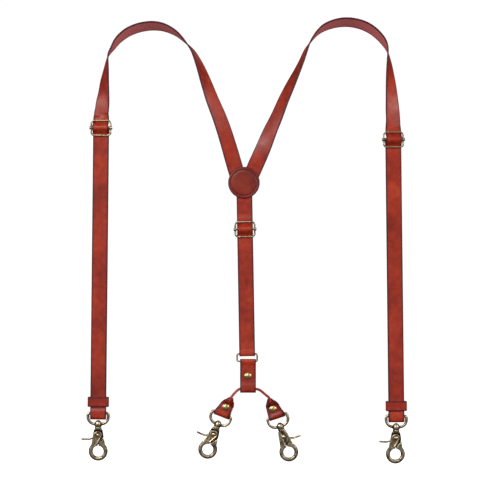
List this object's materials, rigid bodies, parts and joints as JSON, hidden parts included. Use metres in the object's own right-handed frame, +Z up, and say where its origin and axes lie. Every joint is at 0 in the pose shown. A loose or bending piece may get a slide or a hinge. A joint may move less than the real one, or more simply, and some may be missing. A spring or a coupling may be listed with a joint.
{
  "type": "suspenders",
  "caption": "Y-back leather suspenders with sliding buckles, a round yoke patch, a thong-hung rear pair and swivel trigger snaps.",
  "frame": {"origin": "midway between the insides of the tops of the two shoulder loops, where the pair hangs", "axes": "+Z up along the straps as they hang, -Y the front, +X to the right as seen from the front"},
  "size_m": [0.3916, 0.019, 0.5348],
  "materials": {
    "leather": "glossy cognac with dark painted edges",
    "antique_brass": "antiqued, dark in the recesses",
    "buckle_wire": "pale brushed wire",
    "rivet_brass": "polished",
    "thread": "waxed"
  },
  "bodies": {
    "straps": {"left_shoulder_strap": "leather", "right_shoulder_strap": "leather", "back_strap": "leather", "yoke_front_disc": "leather", "yoke_back_disc": "leather", "yoke_stitching": "thread", "left_strap_slack": "leather", "right_strap_slack": "leather", "back_strap_slack": "leather"},
    "left_adjuster": {"left_buckle_frame": "buckle_wire", "left_buckle_pin": "antique_brass", "left_strap_over_pin": "leather"},
    "left_leg_end": {"left_strap_fold": "leather", "left_front_layer": "leather", "left_return_layer": "leather"},
    "left_keeper": {"left_keeper": "leather"},
    "right_adjuster": {"right_buckle_frame": "buckle_wire", "right_buckle_pin": "antique_brass", "right_strap_over_pin": "leather"},
    "right_leg_end": {"right_strap_fold": "leather", "right_front_layer": "leather", "right_return_layer": "leather"},
    "right_keeper": {"right_keeper": "leather"},
    "back_adjuster": {"back_buckle_frame": "buckle_wire", "back_buckle_pin": "antique_brass", "back_strap_over_pin": "leather"},
    "back_leg_end": {"back_strap_fold": "leather", "back_front_layer": "leather", "back_return_layer": "leather"},
    "link_ring": {"link_ring": "antique_brass"},
    "centre_tab": {"centre_tab": "leather", "centre_rivet": "rivet_brass"},
    "thong": {"thong": "leather", "rear_left_tab": "leather", "rear_left_rivet": "rivet_brass", "rear_right_tab": "leather", "rear_right_rivet": "rivet_brass"},
    "left_eye": {"left_eye": "antique_brass"},
    "left_hook": {"left_hook": "antique_brass", "left_pivot": "antique_brass", "left_spring": "antique_brass"},
    "left_gate": {"left_gate": "antique_brass"},
    "right_eye": {"right_eye": "antique_brass"},
    "right_hook": {"right_hook": "antique_brass", "right_pivot": "antique_brass", "right_spring": "antique_brass"},
    "right_gate": {"right_gate": "antique_brass"},
    "rear_left_eye": {"rear_left_eye": "antique_brass"},
    "rear_left_hook": {"rear_left_hook": "antique_brass", "rear_left_pivot": "antique_brass", "rear_left_spring": "antique_brass"},
    "rear_left_gate": {"rear_left_gate": "antique_brass"},
    "rear_right_eye": {"rear_right_eye": "antique_brass"},
    "rear_right_hook": {"rear_right_hook": "antique_brass", "rear_right_pivot": "antique_brass", "rear_right_spring": "antique_brass"},
    "rear_right_gate": {"rear_right_gate": "antique_brass"}
  },
  "joints": [
    {"name": "left_adjuster_slide", "type": "slide", "parent": "straps", "child": "left_adjuster", "axis": [-0.0105, 0, -0.9999], "range_m": [0, 0.16], "deforming": ["left_strap_slack"]},
    {"name": "left_leg_slide", "type": "slide", "parent": "left_adjuster", "child": "left_leg_end", "axis": [-0.0105, 0, -0.9999], "range_m": [-0.08, 0], "deforming": ["left_front_layer", "left_return_layer"]},
    {"name": "left_keeper_slide", "type": "slide", "parent": "left_leg_end", "child": "left_keeper", "axis": [0.0105, 0, 0.9999], "range_m": [0, 0.06]},
    {"name": "right_adjuster_slide", "type": "slide", "parent": "straps", "child": "right_adjuster", "axis": [0.0113, 0, -0.9999], "range_m": [0, 0.16], "deforming": ["right_strap_slack"]},
    {"name": "right_leg_slide", "type": "slide", "parent": "right_adjuster", "child": "right_leg_end", "axis": [0.0113, 0, -0.9999], "range_m": [-0.08, 0], "deforming": ["right_front_layer", "right_return_layer"]},
    {"name": "right_keeper_slide", "type": "slide", "parent": "right_leg_end", "child": "right_keeper", "axis": [-0.0113, 0, 0.9999], "range_m": [0, 0.06]},
    {"name": "back_adjuster_slide", "type": "slide", "parent": "straps", "child": "back_adjuster", "axis": [0.0175, 0, -0.9998], "range_m": [0, 0.1], "deforming": ["back_strap_slack"]},
    {"name": "back_leg_slide", "type": "slide", "parent": "back_adjuster", "child": "back_leg_end", "axis": [0.0175, 0, -0.9998], "range_m": [-0.05, 0], "deforming": ["back_front_layer", "back_return_layer"]},
    {"name": "link_hinge", "type": "hinge", "parent": "back_leg_end", "child": "link_ring", "pos_m": [-0.00099, 0, -0.39138], "axis": [1, 0, 0], "range_deg": [-45, 45]},
    {"name": "tab_hinge", "type": "hinge", "parent": "link_ring", "child": "centre_tab", "pos_m": [-0.00099, 0, -0.40038], "axis": [1, 0, 0], "range_deg": [-45, 45]},
    {"name": "thong_turn", "type": "hinge", "parent": "centre_tab", "child": "thong", "pos_m": [0, 0, -0.4336], "axis": [1, 0, 0], "range_deg": [-40, 40]},
    {"name": "left_eye_hinge", "type": "hinge", "parent": "left_leg_end", "child": "left_eye", "pos_m": [-0.17978, 0, -0.46248], "axis": [1, 0, 0], "range_deg": [-60, 60]},
    {"name": "left_swivel", "type": "hinge", "parent": "left_eye", "child": "left_hook", "pos_m": [-0.17978, 0, -0.47898], "axis": [0, 0, -1], "continuous": true},
    {"name": "left_gate_hinge", "type": "hinge", "parent": "left_hook", "child": "left_gate", "pos_m": [-0.17978, 0, -0.48888], "axis": [0, -1, 0], "range_deg": [0, 20], "stiffness_Nm_per_rad": 0.02, "springref_deg": -22.92, "deforming": ["left_spring"]},
    {"name": "right_eye_hinge", "type": "hinge", "parent": "right_leg_end", "child": "right_eye", "pos_m": [0.17806, 0, -0.46598], "axis": [0.9997, 0, -0.0262], "range_deg": [-60, 60]},
    {"name": "right_swivel", "type": "hinge", "parent": "right_eye", "child": "right_hook", "pos_m": [0.17763, 0, -0.48247], "axis": [-0.0262, 0, -0.9997], "continuous": true},
    {"name": "right_gate_hinge", "type": "hinge", "parent": "right_hook", "child": "right_gate", "pos_m": [0.17737, 0, -0.49237], "axis": [0, -1, 0], "range_deg": [0, 20], "stiffness_Nm_per_rad": 0.02, "springref_deg": -22.92, "deforming": ["right_spring"]},
    {"name": "rear_left_eye_hinge", "type": "hinge", "parent": "thong", "child": "rear_left_eye", "pos_m": [-0.0312, 0, -0.4636], "axis": [0.9272, 0, -0.3746], "range_deg": [-60, 60]},
    {"name": "rear_left_swivel", "type": "hinge", "parent": "rear_left_eye", "child": "rear_left_hook", "pos_m": [-0.03738, 0, -0.4789], "axis": [-0.3746, 0, -0.9272], "continuous": true},
    {"name": "rear_left_gate_hinge", "type": "hinge", "parent": "rear_left_hook", "child": "rear_left_gate", "pos_m": [-0.04109, 0, -0.48808], "axis": [0, -1, 0], "range_deg": [0, 20], "stiffness_Nm_per_rad": 0.02, "springref_deg": -22.92, "deforming": ["rear_left_spring"]},
    {"name": "rear_right_eye_hinge", "type": "hinge", "parent": "thong", "child": "rear_right_eye", "pos_m": [0.0345, 0, -0.4659], "axis": [0.9483, 0, 0.3173], "range_deg": [-60, 60]},
    {"name": "rear_right_swivel", "type": "hinge", "parent": "rear_right_eye", "child": "rear_right_hook", "pos_m": [0.03974, 0, -0.48155], "axis": [0.3173, 0, -0.9483], "continuous": true},
    {"name": "rear_right_gate_hinge", "type": "hinge", "parent": "rear_right_hook", "child": "rear_right_gate", "pos_m": [0.04288, 0, -0.49094], "axis": [0, -1, 0], "range_deg": [0, 20], "stiffness_Nm_per_rad": 0.02, "springref_deg": -22.92, "deforming": ["rear_right_spring"]}
  ],
  "couplings": [
    {"joint": "left_leg_slide", "follows": "left_adjuster_slide", "ratio": -0.5},
    {"joint": "right_leg_slide", "follows": "right_adjuster_slide", "ratio": -0.5},
    {"joint": "back_leg_slide", "follows": "back_adjuster_slide", "ratio": -0.5}
  ]
}
